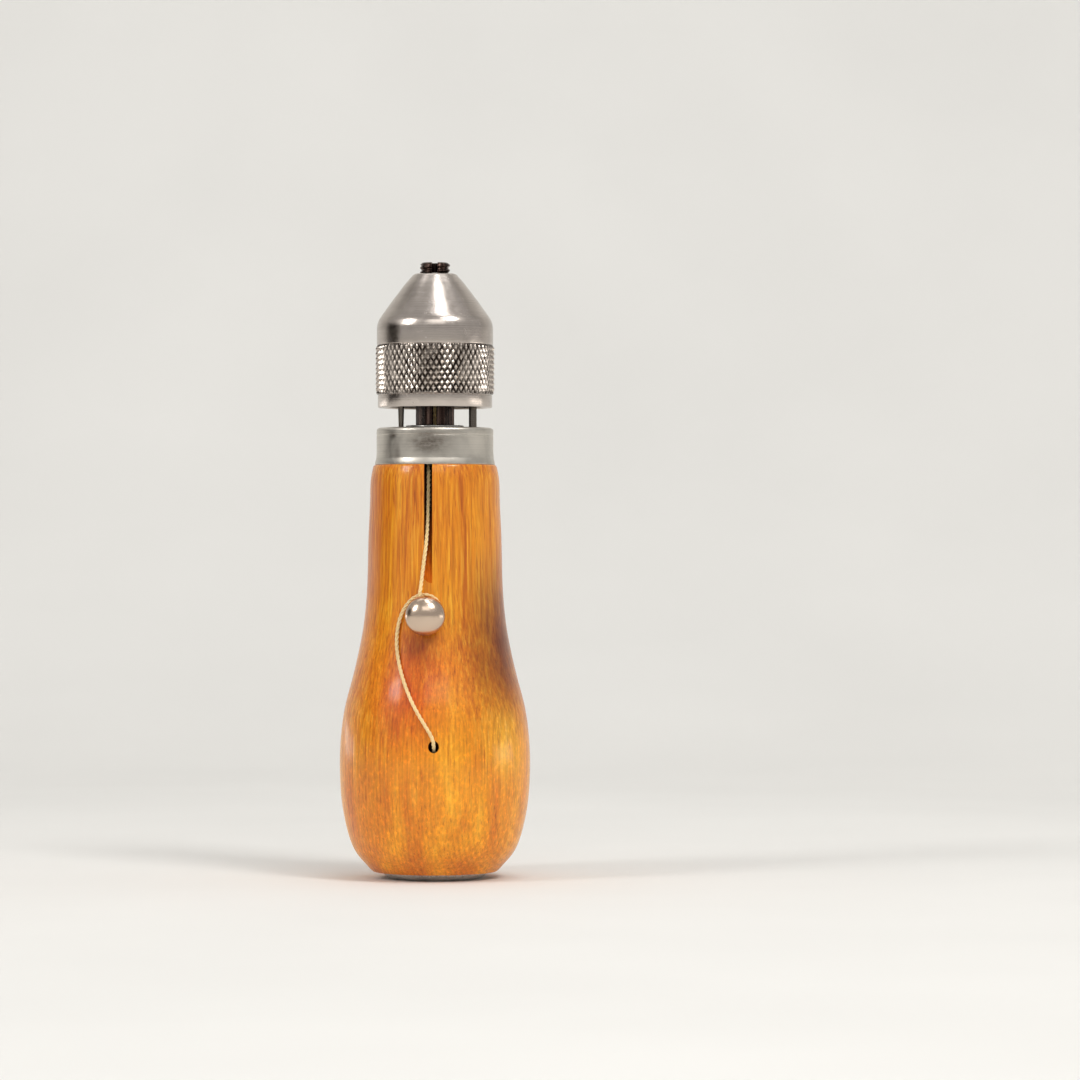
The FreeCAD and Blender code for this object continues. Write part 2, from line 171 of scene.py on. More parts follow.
def wood_material(name="lacquered_wood", cut_face=False):
    m, nt, b = material(name)
    figure = noise(nt, mapped(nt, (150, 150, 24)), 1.0, 3.0, 0.5, 0.6)
    base = ramp(nt, figure, "Fac", [(0.26, lin((176, 86, 6))), (0.40, lin((208, 116, 8))), (0.52, lin((224, 140, 12))),
                                    (0.63, lin((236, 158, 18))), (0.8, lin((246, 182, 40)))])
    # growth layers cut by the turned surface
    wv = node(nt, "ShaderNodeTexWave", {"Scale": 0.5, "Distortion": 3.2, "Detail": 3.0, "Detail Scale": 0.7, "Detail Roughness": 0.55},
              wave_type="BANDS", bands_direction="X", wave_profile="SIN")
    link(nt, mapped(nt, (760, 430, 60), rot=(0.0, 0.05, 0.5)), 0, wv, "Vector")
    rings = ramp(nt, wv, "Fac", [(0.0, grey(0.72)), (0.55, grey(1.0)), (1.0, grey(1.06))])
    c1 = mix(nt, "MULTIPLY", 0.5, (base, 0), (rings, 0))
    # fibres: broad streaks, then fine ones
    fib2 = noise(nt, mapped(nt, (1700, 1700, 40), loc=(3, 1, 2)), 1.0, 4.0, 0.62, 0.15)
    fr2 = ramp(nt, fib2, "Fac", [(0.32, lin((168, 74, 4))), (0.45, lin((208, 116, 10))), (0.54, lin((227, 142, 18))), (0.67, lin((245, 182, 58)))])
    zc = node(nt, "ShaderNodeTexCoord")
    sp = node(nt, "ShaderNodeSeparateXYZ")
    link(nt, zc, "Object", sp, 0)
    straight = node(nt, "ShaderNodeMapRange", {"From Min": 0.020, "From Max": 0.050, "To Min": 0.22, "To Max": 0.60})
    link(nt, sp, "Z", straight, "Value")
    c2 = mix(nt, "MIX", (straight, 0), (c1, 2), (fr2, 0))
    fib = noise(nt, mapped(nt, (2700, 2700, 80)), 1.0, 3.0, 0.62)
    fr = ramp(nt, fib, "Fac", [(0.30, grey(0.70)), (0.47, grey(0.95)), (0.6, grey(1.0)), (0.72, grey(1.16))])
    c3 = mix(nt, "MULTIPLY", 0.6, (c2, 2), (fr, 0))
    # short flecks, strongest on the bulb, where the fibres are cut across
    fl = noise(nt, mapped(nt, (1500, 1500, 900)), 1.0, 3.0, 0.6)
    flr = ramp(nt, fl, "Fac", [(0.32, grey(0.80)), (0.46, grey(0.98)), (0.54, grey(1.0)), (0.68, (1.34, 1.36, 1.55, 1))])
    low = node(nt, "ShaderNodeMapRange", {"From Min": 0.060, "From Max": 0.022, "To Min": 0.10, "To Max": 0.8})
    link(nt, sp, "Z", low, "Value")
    c4 = mix(nt, "MULTIPLY", (low, 0), (c3, 2), (flr, 0))
    pale = node(nt, "ShaderNodeMapRange", {"From Min": 0.040, "From Max": 0.018, "To Min": 0.0, "To Max": 1.0})
    link(nt, sp, "Z", pale, "Value")
    c4 = mix(nt, "MULTIPLY", (pale, 0), (c4, 2), (1.15, 1.17, 1.5, 1))
    # tone patches: redder below the tension post and darker on the left of the neck; painted shadow under the ball,
    # painted shadow and dark reflection on the right of the neck, painted highlights low on both flanks
    for centre, radius, soft, sc3, tint, amount in (
            ((-0.0045, -0.0175, 0.0400), 0.0140, 1.0, (0.9, 0.6, 0.75), (0.89, 0.38, 0.26), 0.9),
            # painted shadow under the tension post's ball
            ((-0.0028, -0.0155, 0.0478), 0.0050, 1.0, (0.9, 0.5, 0.9), (0.40, 0.22, 0.24), 0.8),
            # painted shadow and dark reflection on the right of the neck
            ((0.0142, -0.0085, 0.0500), 0.0150, 0.9, (1.30, 0.72, 0.62), (0.19, 0.08, 0.07), 0.92),
            ((-0.0125, -0.0020, 0.0700), 0.0080, 1.0, (0.9, 0.5, 0.22), (0.66, 0.43, 0.30), 0.7),
            # painted highlight, pale, low on the right flank
            ((0.0140, -0.0130, 0.0290), 0.0085, 1.0, (1.0, 0.8, 0.70), (1.12, 1.55, 4.2), 0.9),
            # painted highlight, pale, low on the left flank
            ((-0.0165, -0.0105, 0.0300), 0.0110, 1.0, (1.0, 0.7, 0.60), (1.06, 1.30, 2.8), 0.8)):
        patch = near(nt, centre, radius, soft, sc3)
        edge = noise(nt, mapped(nt, (260, 260, 90), loc=(centre[0] * 900, 2, 5)), 1.0, 3.0, 0.6)
        er = ramp(nt, edge, "Fac", [(0.30, grey(0.62)), (0.58, grey(1.0))])
        pm = math_n(nt, "MULTIPLY", (patch, 0), (er, 0))
        pa = math_n(nt, "MULTIPLY", (pm, 0), amount)
        c4 = mix(nt, "MULTIPLY", (pa, 0), (c4, 2), tint + (1,))
    # darker in the pores
    pore = noise(nt, mapped(nt, (3600, 3600, 210), loc=(7, 3, 1)), 1.0, 1.0, 0.4)
    pr = ramp(nt, pore, "Fac", [(0.62, grey(1.0)), (0.72, lin((196, 140, 96)))])
    c6 = mix(nt, "MULTIPLY", 0.55, (c4, 2), (pr, 0))
    if cut_face:
        # sawn and bored faces: bare wood, with painted shade: darker deep in the kerf's upper part and in the holes and
        # bore lower down
        deep = node(nt, "ShaderNodeMapRange", {"From Min": 0.0628, "From Max": 0.0760, "To Min": 0.0, "To Max": 1.0})
        link(nt, sp, "Z", deep, "Value")
        below = node(nt, "ShaderNodeMapRange", {"From Min": 0.0585, "From Max": 0.0560, "To Min": 0.0, "To Max": 1.0})
        link(nt, sp, "Z", below, "Value")
        # painted shade: the sawn and bored faces go dark where they lie deep in the kerf or low in the holes
        painted_shade_mask = math_n(nt, "MAXIMUM", (deep, 0), (below, 0))
        tone = mix(nt, "MIX", (painted_shade_mask, 0), lin((232, 186, 176)), lin((58, 38, 28)))
        c6 = mix(nt, "MULTIPLY", 1.0, (c6, 2), (tone, 2))
        link(nt, c6, 2, b, "Base Color")
        b.inputs["Roughness"].default_value = 0.8
        b.inputs["Specular IOR Level"].default_value = 0.15
        bump(nt, b, fib, "Fac", 0.4, 0.00015)
        return m
    link(nt, c6, 2, b, "Base Color")
    rr = ramp(nt, fib2, "Fac", [(0.3, grey(0.50)), (0.7, grey(0.40))])
    link(nt, rr, 0, b, "Roughness")
    b.inputs["Specular IOR Level"].default_value = 0.3
    b.inputs["Coat Weight"].default_value = 0.6
    b.inputs["Coat Roughness"].default_value = 0.13
    b.inputs["Coat IOR"].default_value = 1.48
    b.inputs["Coat Tint"].default_value = (1.0, 0.93, 0.80, 1.0)
    peel = noise(nt, mapped(nt, (520, 520, 260)), 1.0, 2.0, 0.4)
    b1 = bump(nt, b, fib, "Fac", 0.12, 0.00010)
    b2 = bump(nt, b, peel, "Fac", 0.10, 0.00024, b1)
    nt.links.new(b2.outputs[0], b.inputs["Coat Normal"])
    return m


def metal_material(name, color, rough=(0.22, 0.34), turn=0.0, blotch=0.12, scratch=0.10, dark=(120, 112, 104), spin_scale=5200.0,
                   dark_patches=None, aniso=0.0, lines=0.0, groove_grime_and_shade=None, painted_reflection_stripes=None):
    """Metal with lathe marks round Z (turn, lines), blotches and short scratches; the groove pair (clean radius, dark
    radius) darkens the knurl grooves with grime and painted shade.
    """
    m, nt, b = material(name)
    b.inputs["Metallic"].default_value = 1.0
    bl = noise(nt, mapped(nt, (230, 230, 230)), 1.0, 4.0, 0.6, 0.3)
    col = ramp(nt, bl, "Fac", [(0.30, tuple(0.72 * v for v in lin(color)[:3]) + (1,)), (0.5, lin(color)), (0.75, tuple(min(1, 1.1 * v) for v in lin(color)[:3]) + (1,))])
    out = mix(nt, "MIX", blotch * 5 if blotch * 5 < 1 else 1.0, lin(color), (col, 0))
    if lines > 0:
        ln = noise(nt, mapped(nt, (9, 9, 3600), loc=(0, 0, 4)), 1.0, 4.0, 0.7)
        lr = ramp(nt, ln, "Fac", [(0.34, grey(0.62)), (0.5, grey(0.95)), (0.62, grey(1.0))])
        out = mix(nt, "MULTIPLY", lines, (out, 2), (lr, 0))
    if painted_reflection_stripes:
        # painted reflections: streaks along Z, in the colours given
        st = noise(nt, mapped(nt, (1500, 1500, 34), loc=(1, 2, 3)), 1.0, 4.0, 0.7)
        sr = ramp(nt, st, "Fac", [(0.34, lin(painted_reflection_stripes[0])), (0.5, lin(painted_reflection_stripes[1])), (0.66, lin(painted_reflection_stripes[2]))])
        out = mix(nt, "MIX", 0.9, (out, 2), (sr, 0))
    if dark_patches:
        # darker patches round the given spots
        for c, r, s, amount in dark_patches:
            sm = near(nt, c, r, 1.0, s)
            breakup = noise(nt, mapped(nt, (420, 420, 900), loc=(1, 5, 2)), 1.0, 5.0, 0.7)
            br = ramp(nt, breakup, "Fac", [(0.34, grey(0.45)), (0.60, grey(1.0))])
            f = math_n(nt, "MULTIPLY", (sm, 0), (br, 0))
            f2 = math_n(nt, "MULTIPLY", (f, 0), amount)
            out = mix(nt, "MIX", (f2, 0), (out, 2), lin(dark))
    if groove_grime_and_shade:
        # grime and painted shade: darker deep in the knurl grooves, below the clean radius
        tc = node(nt, "ShaderNodeTexCoord")
        flat = node(nt, "ShaderNodeVectorMath", operation="MULTIPLY")
        flat.inputs[1].default_value = (1, 1, 0)
        link(nt, tc, "Object", flat, 0)
        rad = node(nt, "ShaderNodeVectorMath", operation="LENGTH")
        link(nt, flat, 0, rad, 0)
        dm = node(nt, "ShaderNodeMapRange", {"From Min": groove_grime_and_shade[1], "From Max": groove_grime_and_shade[0], "To Min": 1.0, "To Max": 0.0})
        link(nt, rad, "Value", dm, "Value")
        dn = noise(nt, mapped(nt, (520, 520, 520), loc=(4, 4, 1)), 1.0, 3.0, 0.6)
        dr = ramp(nt, dn, "Fac", [(0.34, grey(0.55)), (0.6, grey(1.0))])
        df = math_n(nt, "MULTIPLY", (dm, 0), (dr, 0))
        out = mix(nt, "MIX", (df, 0), (out, 2), lin(dark))
    link(nt, out, 2, b, "Base Color")
    ro = noise(nt, mapped(nt, (700, 700, 700), loc=(2, 2, 9)), 1.0, 4.0, 0.6)
    rr = ramp(nt, ro, "Fac", [(0.3, grey(rough[0])), (0.7, grey(rough[1]))])
    link(nt, rr, 0, b, "Roughness")
    if aniso > 0:
        b.inputs["Anisotropic"].default_value = aniso
        tg = node(nt, "ShaderNodeTangent", direction_type="RADIAL", axis="Z")
        link(nt, tg, 0, b, "Tangent")
    prev = None
    if turn > 0:
        tn = noise(nt, mapped(nt, (14, 14, spin_scale)), 1.0, 3.0, 0.6)
        prev = bump(nt, b, tn, "Fac", turn, 0.00003)
    if scratch > 0:
        sc = noise(nt, mapped(nt, (2400, 2400, 2100), rot=(0.3, 0.6, 0.2)), 1.0, 3.0, 0.7)
        prev = bump(nt, b, sc, "Fac", scratch, 0.00004, prev)
    return m


def thread_material(name, color, color2):
    m, nt, b = material(name)
    n1 = noise(nt, mapped(nt, (4200, 4200, 4200)), 1.0, 3.0, 0.6)
    cr = ramp(nt, n1, "Fac", [(0.3, lin(color2)), (0.6, lin(color))])
    n2 = noise(nt, mapped(nt, (180, 180, 180)), 1.0, 2.0, 0.5)
    cr2 = ramp(nt, n2, "Fac", [(0.35, grey(0.86)), (0.65, grey(1.0))])
    c = mix(nt, "MULTIPLY", 1.0, (cr, 0), (cr2, 0))
    link(nt, c, 2, b, "Base Color")
    rr = ramp(nt, n1, "Fac", [(0.3, grey(0.5)), (0.7, grey(0.62))])
    link(nt, rr, 0, b, "Roughness")
    b.inputs["Sheen Weight"].default_value = 0.25
    b.inputs["Subsurface Weight"].default_value = 0.08
    b.inputs["Subsurface Radius"].default_value = (0.0006, 0.0004, 0.0002)
    bump(nt, b, n1, "Fac", 0.35, 0.00006)
    return m


WOOD = wood_material()
WOOD_CUT = wood_material("cut_wood", cut_face=True)
CAP = metal_material("cap_metal", (204, 194, 186), (0.19, 0.28), turn=0.30, blotch=0.08, scratch=0.03, aniso=0.35, lines=0.7,
                     dark_patches=[((-0.0085, -0.0086, 0.1122), 0.0026, (1.2, 0.5, 0.62), 0.6), ((-0.0050, -0.0070, 0.1205), 0.0030, (1.0, 0.5, 0.7), 0.35)],
                     dark=(104, 92, 84))
KNURL = metal_material("knurl_metal", (216, 205, 195), (0.18, 0.29), turn=0.0, blotch=0.12, scratch=0.08, dark=(34, 25, 20), groove_grime_and_shade=(0.01213, 0.01188))
FERR = metal_material("ferrule_metal", (208, 202, 192), (0.30, 0.42), turn=0.25, blotch=0.10, scratch=0.06, aniso=0.35, lines=0.35,
                      dark_patches=[((-0.0010, -0.0121, 0.0898), 0.0062, (0.85, 0.5, 1.5), 0.9), ((-0.0075, -0.0096, 0.0872), 0.0016, (1.6, 0.5, 0.6), 0.6),
                              ((-0.0085, -0.0088, 0.0912), 0.0012, (0.7, 0.5, 1.4), 0.9)], dark=(84, 70, 60))
STEEL = metal_material("machined_steel", (188, 186, 182), (0.22, 0.36), turn=0.25, blotch=0.1, scratch=0.14)
POST = metal_material("darkened_post", (78, 70, 64), (0.20, 0.34), turn=0.2, blotch=0.1, scratch=0.10,
                      painted_reflection_stripes=((14, 9, 8), (58, 42, 38), (138, 114, 104)))
NEEDLE = metal_material("needle_steel", (118, 110, 102), (0.12, 0.20), turn=0.05, blotch=0.06, scratch=0.05)
NICKEL = metal_material("polished_nickel", (212, 190, 170), (0.19, 0.28), turn=0.0, blotch=0.05, scratch=0.02)
REEL = metal_material("reel_metal", (216, 214, 210), (0.42, 0.58), turn=0.25, blotch=0.12, scratch=0.25)
REEL.node_tree.nodes["Principled BSDF"].inputs["Metallic"].default_value = 0.65
BLACKED = metal_material("spring_steel", (120, 116, 112), (0.25, 0.38), turn=0.2, blotch=0.12, scratch=0.12)
THREAD = thread_material("waxed_thread", (255, 228, 168), (238, 198, 132))
WOUND = thread_material("wound_thread", (240, 212, 152), (206, 166, 104))


# ------------------------------------------------------------------ mesh helpers
def make(name, verts, faces, mat, body, node_name=None, sharp=32.0, scale=MM, lift=LIFT):
    me = bpy.data.meshes.new(name)
    vs = [(v[0] * scale, v[1] * scale, (v[2] + lift) * scale) for v in verts]
    me.from_pydata(vs, [], faces)
    me.validate()
    bm = bmesh.new()
    bm.from_mesh(me)
    bmesh.ops.remove_doubles(bm, verts=bm.verts, dist=1e-7)
    bmesh.ops.recalc_face_normals(bm, faces=bm.faces)
    bm.to_mesh(me)
    bm.free()
    o = bpy.data.objects.new(name, me)
    scene.collection.objects.link(o)
    finish_mesh(o, mat, sharp)
    if body:
        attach(o, body)
    if node_name:
        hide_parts(node_name)
    return o


def finish_mesh(o, mat, sharp=32.0):
    me = o.data
    me.materials.clear()
    me.materials.append(mat)
    for p in me.polygons:
        p.use_smooth = True
        p.material_index = 0
    if sharp:
        me.set_sharp_from_angle(angle=math.radians(sharp))


def cubic(points, n):
    """Smooth curve through the points (natural cubic by chord length)."""
    p = np.array(points, float)
    t = np.concatenate([[0], np.cumsum(np.linalg.norm(np.diff(p, axis=0), axis=1))])
    k = len(p)
    h = np.diff(t)
    A = np.zeros((k, k))
    B = np.zeros((k, 2))
    A[0, 0] = A[-1, -1] = 1
    for i in range(1, k - 1):
        A[i, i - 1], A[i, i], A[i, i + 1] = h[i - 1], 2 * (h[i - 1] + h[i]), h[i]
        B[i] = 6 * ((p[i + 1] - p[i]) / h[i] - (p[i] - p[i - 1]) / h[i - 1])
    mm = np.linalg.solve(A, B)
    out = []
    for s in np.linspace(0, t[-1], n):
        i = min(max(int(np.searchsorted(t, s, side="right")) - 1, 0), k - 2)
        a, bb, hh = t[i + 1] - s, s - t[i], h[i]
        out.append(mm[i] * a ** 3 / (6 * hh) + mm[i + 1] * bb ** 3 / (6 * hh) + (p[i] / hh - mm[i] * hh / 6) * a
                   + (p[i + 1] / hh - mm[i + 1] * hh / 6) * bb)
    return [tuple(v) for v in out]


def lathe(profile, n=128, closed=True):
    """Revolves a closed (r, z) profile about Z; points on the axis become poles."""
    verts, rings = [], []
    for r, z in profile:
        if r < 1e-6:
            rings.append([len(verts)])
            verts.append((0, 0, z))
        else:
            rings.append(list(range(len(verts), len(verts) + n)))
            verts += [(r * math.cos(2 * math.pi * i / n), r * math.sin(2 * math.pi * i / n), z) for i in range(n)]
    faces = []
    m = len(rings)
    for a in range(m if closed else m - 1):
        ra, rb = rings[a], rings[(a + 1) % m]
        if len(ra) == 1 and len(rb) == 1:
            continue
        for i in range(n):
            j = (i + 1) % n
            if len(ra) == 1:
                faces.append((ra[0], rb[i], rb[j]))
            elif len(rb) == 1:
                faces.append((ra[i], rb[0], ra[j]))
            else:
                faces.append((ra[i], rb[i], rb[j], ra[j]))
    return verts, faces


def rounded(profile, radii, steps=5):
    """Rounds the named corners of a closed (r, z) profile; radii is {index: radius}."""
    out = []
    n = len(profile)
    for i, p in enumerate(profile):
        r = radii.get(i, 0)
        if r <= 0:
            out.append(p)
            continue
        p = np.array(p, float)
        a, b = np.array(profile[i - 1], float), np.array(profile[(i + 1) % n], float)
        u, w = (a - p) / np.linalg.norm(a - p), (b - p) / np.linalg.norm(b - p)
        half = math.acos(max(-1, min(1, float(u @ w)))) / 2
        t = min(r / math.tan(half), 0.49 * np.linalg.norm(a - p), 0.49 * np.linalg.norm(b - p))
        rr = t * math.tan(half)
        c = p + (u + w) / np.linalg.norm(u + w) * (rr / math.sin(half))
        s, e = p + u * t - c, p + w * t - c
        a0, a1 = math.atan2(s[1], s[0]), math.atan2(e[1], e[0])
        da = (a1 - a0 + math.pi) % (2 * math.pi) - math.pi
        for k in range(steps + 1):
            aa = a0 + da * k / steps
            out.append((c[0] + rr * math.cos(aa), c[1] + rr * math.sin(aa)))
    return out


def cylinder_mesh(p0, p1, r, n=48, extra=0.0):
    p0, p1 = Vector(p0), Vector(p1)
    d = (p1 - p0).normalized()
    p0, p1 = p0 - d * extra, p1 + d * extra
    x = d.orthogonal().normalized()
    y = d.cross(x)
    verts = [tuple(p + (x * math.cos(2 * math.pi * i / n) + y * math.sin(2 * math.pi * i / n)) * r) for p in (p0, p1) for i in range(n)]
    faces = [tuple(range(n - 1, -1, -1)), tuple(range(n, 2 * n))] + [(i, (i + 1) % n, n + (i + 1) % n, n + i) for i in range(n)]
    return verts, faces


def box_mesh(x0, x1, y0, y1, z0, z1):
    v = [(x, y, z) for z in (z0, z1) for y in (y0, y1) for x in (x0, x1)]
    return v, [(0, 2, 3, 1), (4, 5, 7, 6), (0, 1, 5, 4), (2, 6, 7, 3), (0, 4, 6, 2), (1, 3, 7, 5)]


def join(*parts):
    verts, faces = [], []
    for v, f in parts:
        k = len(verts)
        verts += list(v)
        faces += [tuple(i + k for i in q) for q in f]
    return verts, faces


def cut(o, *cutters, op="DIFFERENCE"):
    """Boolean with each cutter in turn, applied to the mesh."""
    for v, f in cutters:
        c = make("cutter", v, f, WOOD, None, sharp=None)
        mod = o.modifiers.new("b", "BOOLEAN")
        mod.operation, mod.object, mod.solver = op, c, "EXACT"
        dg = bpy.context.evaluated_depsgraph_get()
        me = bpy.data.meshes.new_from_object(o.evaluated_get(dg))
        o.modifiers.clear()
        old = o.data
        o.data = me
        bpy.data.meshes.remove(old)
        bpy.data.objects.remove(c)
    bm = bmesh.new()
    bm.from_mesh(o.data)
    bmesh.ops.remove_doubles(bm, verts=bm.verts, dist=2e-7)
    bmesh.ops.dissolve_degenerate(bm, edges=bm.edges, dist=1e-7)
    bm.to_mesh(o.data)
    bm.free()
    return o


# ------------------------------------------------------------------ the thread: route in metres, as in the design
ROUTE = [
         (0.004, -0.00955, 0.0205), (0.0025, -0.01005, 0.0213), (0.0009, -0.01052, 0.02235), (0.0003, -0.01195, 0.0234),
         (0.00017, -0.0144, 0.0249), (0.00017, -0.0169, 0.02635), (0.00018, -0.0187, 0.02735), (0.0002, -0.0196, 0.02805),
         (0.00012, -0.01998, 0.0289), (-0.00025, -0.019781, 0.0301), (-0.0015, -0.01953, 0.0321), (-0.00375, -0.018618, 0.0358),
         (-0.00545, -0.017133, 0.0396), (-0.00665, -0.01564, 0.0432), (-0.00735, -0.01444, 0.0467), (-0.0075, -0.01363, 0.0499),
         (-0.0071, -0.013312, 0.0529), (-0.0063, -0.013413, 0.0552), (-0.00515, -0.013721, 0.057), (-0.00375, -0.014072, 0.05825),
         (-0.0018, -0.014419, 0.05875), (0.00015, -0.01457, 0.05815), (0.001355, -0.014617, 0.056709), (0.001668, -0.01476, 0.054859),
         (0.001051, -0.015023, 0.053107), (-0.000441, -0.015236, 0.051796), (-0.002471, -0.015053, 0.051718), (-0.004068, -0.014518, 0.052975),
         (-0.00435, -0.01424, 0.055), (-0.00362, -0.014751, 0.0566), (-0.00302, -0.015228, 0.0578), (-0.00262, -0.015199, 0.0594),
         (-0.00242, -0.014307, 0.0612), (-0.00216, -0.014191, 0.0634), (-0.00184, -0.014184, 0.066), (-0.00144, -0.013739, 0.069),
         (-0.00122, -0.012667, 0.0726), (-0.0011, -0.011872, 0.0768), (-0.00106, -0.011186, 0.0806), (-0.00105, -0.01082, 0.0826),
         (-0.00105, -0.01002, 0.084), (-0.00105, -0.00885, 0.0852), (-0.00104, -0.0073, 0.0865), (-0.00095, -0.00575, 0.0877),
         (-0.00072, -0.00445, 0.0888), (-0.00044, -0.0034, 0.0898), (-0.00018, -0.00268, 0.0907), (-6e-05, -0.00208, 0.0918),
         (0.0, -0.0016, 0.0933), (0.0, -0.00134, 0.0956), (0.0, -0.00126, 0.0988), (0.0, -0.00127, 0.103),
         (0.0, -0.00142, 0.107), (2e-05, -0.00152, 0.111), (0.0, -0.0015, 0.1152), (-2e-05, -0.00153, 0.1194),
         (0.0, -0.0015, 0.1233),
]
cu = bpy.data.curves.new("route", "CURVE")
cu.dimensions = "3D"
sp = cu.splines.new("NURBS")
sp.points.add(len(ROUTE) - 1)
for i, p in enumerate(ROUTE):
    sp.points[i].co = (p[0], p[1], p[2], 1.0)
sp.order_u = 3
sp.use_endpoint_u = True
sp.resolution_u = 12
cu.resolution_u = 12
route_o = bpy.data.objects.new("route", cu)
scene.collection.objects.link(route_o)
dg = bpy.context.evaluated_depsgraph_get()
line_me = bpy.data.meshes.new_from_object(route_o.evaluated_get(dg))
LINE = [v.co.copy() for v in line_me.vertices]
bpy.data.meshes.remove(line_me)
bpy.data.objects.remove(route_o)


def twisted(line, plies=3, offset=0.00019, ply_r=0.000205, lay=0.0031, n=10):
    """Plies twisted round the line, each a closed tube."""
    tang = []
    for i in range(len(line)):
        a, b = line[max(i - 1, 0)], line[min(i + 1, len(line) - 1)]
        tang.append((b - a).normalized())
    up = tang[0].orthogonal().normalized()
    frames, s = [], [0.0]
    for i, t in enumerate(tang):
        up = (up - t * up.dot(t)).normalized()
        frames.append((up.copy(), t.cross(up)))
        if i:
            s.append(s[-1] + (line[i] - line[i - 1]).length)
    verts, faces = [], []
    for k in range(plies):
        base = len(verts)
        for i, p in enumerate(line):
            u, v = frames[i]
            a = 2 * math.pi * (k / plies + s[i] / lay)
            c = p + (u * math.cos(a) + v * math.sin(a)) * offset
            for j in range(n):
                q = 2 * math.pi * j / n
                verts.append(tuple(c + (u * math.cos(q) + v * math.sin(q)) * ply_r))
        m = len(line)
        for i in range(m - 1):
            for j in range(n):
                a0, a1 = base + i * n + j, base + i * n + (j + 1) % n
                faces.append((a0, a1, a1 + n, a0 + n))
        faces.append(tuple(base + j for j in range(n - 1, -1, -1)))
        faces.append(tuple(base + (m - 1) * n + j for j in range(n)))
    return verts, faces


tv, tf = twisted(LINE)
thread = make("thread", tv, tf, THREAD, "handle", "thread_lead", sharp=None, scale=1.0, lift=0.0)

# ------------------------------------------------------------------ handle
WOOD_PTS = [(12.9, 0.0), (14.4, 1.7), (15.95, 3.5), (17.2, 5.8), (18.3, 9.4), (19.2, 14.2), (19.58, 19.4), (19.6, 24.6),
            (19.25, 29.5), (18.45, 34.5), (17.15, 39.4), (15.95, 44.4), (14.95, 49.4), (14.32, 54.3), (13.98, 59.3),
            (13.8, 66.7), (13.62, 71.7), (13.4, 76.6), (13.08, 82.0), (12.78, 83.3)]
side = cubic(WOOD_PTS, 190)
foot = [(12.55, 0.0), (12.78, 0.06), (12.95, 0.2)]
crown = [(12.72, 83.5), (12.58, 83.72), (12.4, 83.82), (12.2, 83.84)]
prof = [(0, 0.0), (11.6, 0.0)] + foot + [q for q in side if q[1] > 0.45] + crown + [(11.3, 83.84), (11.3, 90.58), (0, 90.58)]
hv, hf = lathe(prof, 256)
handle = make("wood_handle", hv, hf, WOOD, "handle", "handle", sharp=None)
gx, gw = -1.08, 1.65
kerf_p = [(13.95, 59.6), (10.29, 80.8), (1.2, 88.6), (1.2, 91.5), (30, 91.5), (30, 59.6)]
kerf_v = [(gx + side_s * gw / 2, -r_, z_) for side_s in (-1, 1) for r_, z_ in kerf_p]
kerf = (kerf_v, [(0, 1, 2, 3, 4, 5), (11, 10, 9, 8, 7, 6)] + [(i, i + 6, (i + 1) % 6 + 6, (i + 1) % 6) for i in range(6)])
pocket = cylinder_mesh((0, 0, -1), (0, 0, 29.5), 11.1, 128)
feed = cylinder_mesh((0.17, -20.9, 27.35), (0.17, -10.4, 21.15), 1.1, 40)
holes = join(cylinder_mesh((-7, 0, 44.5), (-7, 0, 92), 1.1, 28), cylinder_mesh((6.2, 0, 44.5), (6.2, 0, 92), 2.9, 40),
             cylinder_mesh((0, 0, 66), (0, 0, 92), 2.52, 40), box_mesh(-2.5, 2.5, 6.5, 8.3, 50, 92), cylinder_mesh((-1.6, -20, 53), (-1.6, -13.72, 53), 1.93, 40))
cut(handle, kerf, box_mesh(gx - gw / 2 + 0.001, 0.75, -4.6, 0, 87.0, 91.6), pocket, feed, holes)
finish_mesh(handle, WOOD, 34)
handle.data.materials.append(WOOD_CUT)
feed_a, feed_d = Vector((0.17, -10.4, 21.15)), (Vector((0.17, -20.9, 27.35)) - Vector((0.17, -10.4, 21.15))).normalized()
outer = sorted((q[1], q[0]) for q in side)
oz, orr = [q[0] for q in outer], [q[1] for q in outer]
for p in handle.data.polygons:
    c = p.center / MM - Vector((0, 0, LIFT))
    rad = math.hypot(c.x, c.y)
    skin = float(np.interp(c.z, oz, orr))
    n = p.normal
    out_n = (n.x * c.x + n.y * c.y) / max(rad, 1e-6)
    inside = rad < skin - 0.12 or abs(out_n) < 0.5 and rad < skin - 0.01
    in_kerf = abs(c.x - gx) < gw / 2 + 0.02 and c.y < -1 and 59.5 < c.z < 90.7 and (rad < skin - 0.06 or abs(n.x) > 0.9)
    in_feed = ((c - feed_a) - feed_d * (c - feed_a).dot(feed_d)).length < 1.3 and inside and c.y < -9
    in_seat = math.hypot(c.x + 1.6, c.z - 53.0) < 2.0 and inside and c.y < -10
    in_bore = rad < 11.15 and c.z < 83.8
    if in_kerf or in_feed or in_seat or in_bore:
        p.material_index = 1

